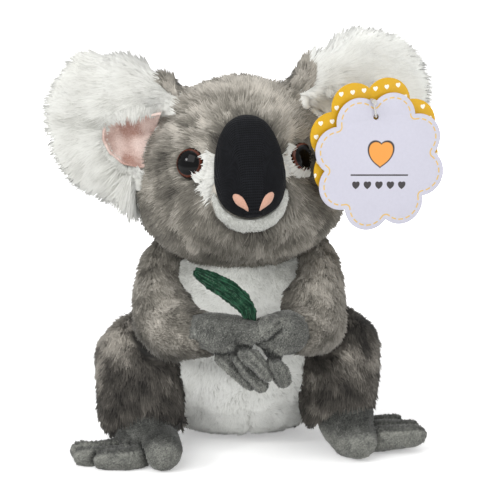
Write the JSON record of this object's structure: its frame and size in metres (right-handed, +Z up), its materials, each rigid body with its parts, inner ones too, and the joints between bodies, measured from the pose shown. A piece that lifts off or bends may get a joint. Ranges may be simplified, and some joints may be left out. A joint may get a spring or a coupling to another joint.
{
  "type": "plush koala",
  "caption": "Seated stuffed koala in long grey pile with pale round ears, a large knitted nose, short-nap hands and feet, a felt leaf in its hands and round card tags at one ear",
  "frame": {"origin": "on the floor under the middle of the torso, at the centre of the flat that the torso rests on", "axes": "+Z up, the koala faces -Y, +X to the right of a viewer in front of it; left and right in the names are that viewer's"},
  "size_m": [0.2104, 0.1351, 0.2254],
  "materials": {
    "grey_plush": "long mottled grey-brown polyester pile",
    "dark_plush": "long darker mottled grey pile",
    "pale_plush": "white pile, long on the ears and short on the belly and chin",
    "short_plush": "short-nap speckled grey velour",
    "pink_satin": "finely creased satin weave",
    "black_knit": "fine ribbed knit, stuffed tight",
    "peach_satin": "satin stitch",
    "eye_plastic": "polished clear dome over a brown iris",
    "washer_plastic": "moulded natural",
    "fibre_filling": "loose polyester fibre",
    "green_felt": "felt with a stitched midrib",
    "white_card": "coated printed card with a satin surface",
    "yellow_card": "coated printed card with a satin surface",
    "clear_nylon": "clear extruded nylon"
  },
  "bodies": {
    "koala": {"torso_skin": "grey_plush", "belly_panel": "pale_plush", "torso_stuffing": "fibre_filling", "head_skin": "grey_plush", "head_stuffing": "fibre_filling", "muzzle_panel": "pale_plush", "nose": "black_knit", "nostril_left": "peach_satin", "nostril_right": "peach_satin", "eye_left": "eye_plastic", "eye_right": "eye_plastic", "eye_washer_left": "washer_plastic", "eye_washer_right": "washer_plastic", "eye_patch_left": "pale_plush", "eye_patch_right": "pale_plush", "ear_pile_left": "pale_plush", "ear_pile_right": "pale_plush", "ear_lining_left": "pink_satin", "ear_lining_right": "pink_satin", "ear_back_left": "grey_plush", "ear_back_right": "grey_plush", "arm_skin_left": "grey_plush", "arm_skin_right": "grey_plush", "arm_stuffing_left": "fibre_filling", "arm_stuffing_right": "fibre_filling", "hand_skin_left": "short_plush", "hand_skin_right": "short_plush", "hand_stuffing_left": "fibre_filling", "hand_stuffing_right": "fibre_filling", "leg_skin_left": "dark_plush", "leg_skin_right": "dark_plush", "leg_stuffing_left": "fibre_filling", "leg_stuffing_right": "fibre_filling", "foot_skin_left": "short_plush", "foot_skin_right": "short_plush", "foot_stuffing_left": "fibre_filling", "foot_stuffing_right": "fibre_filling", "leaf": "green_felt", "tag_stem": "clear_nylon"},
    "front_tag": {"tag_card_front": "white_card", "tag_ring": "clear_nylon"},
    "back_tag": {"tag_card_back": "yellow_card"}
  },
  "joints": [
    {"name": "front_tag_swing", "type": "hinge", "parent": "koala", "child": "front_tag", "pos_m": [0.06752, -0.04872, 0.19109], "axis": [0.309, -0.9511, 0], "range_deg": [-20, 25]},
    {"name": "back_tag_swing", "type": "hinge", "parent": "koala", "child": "back_tag", "pos_m": [0.06752, -0.04872, 0.19109], "axis": [0.309, -0.9511, 0], "range_deg": [-20, 25]}
  ]
}
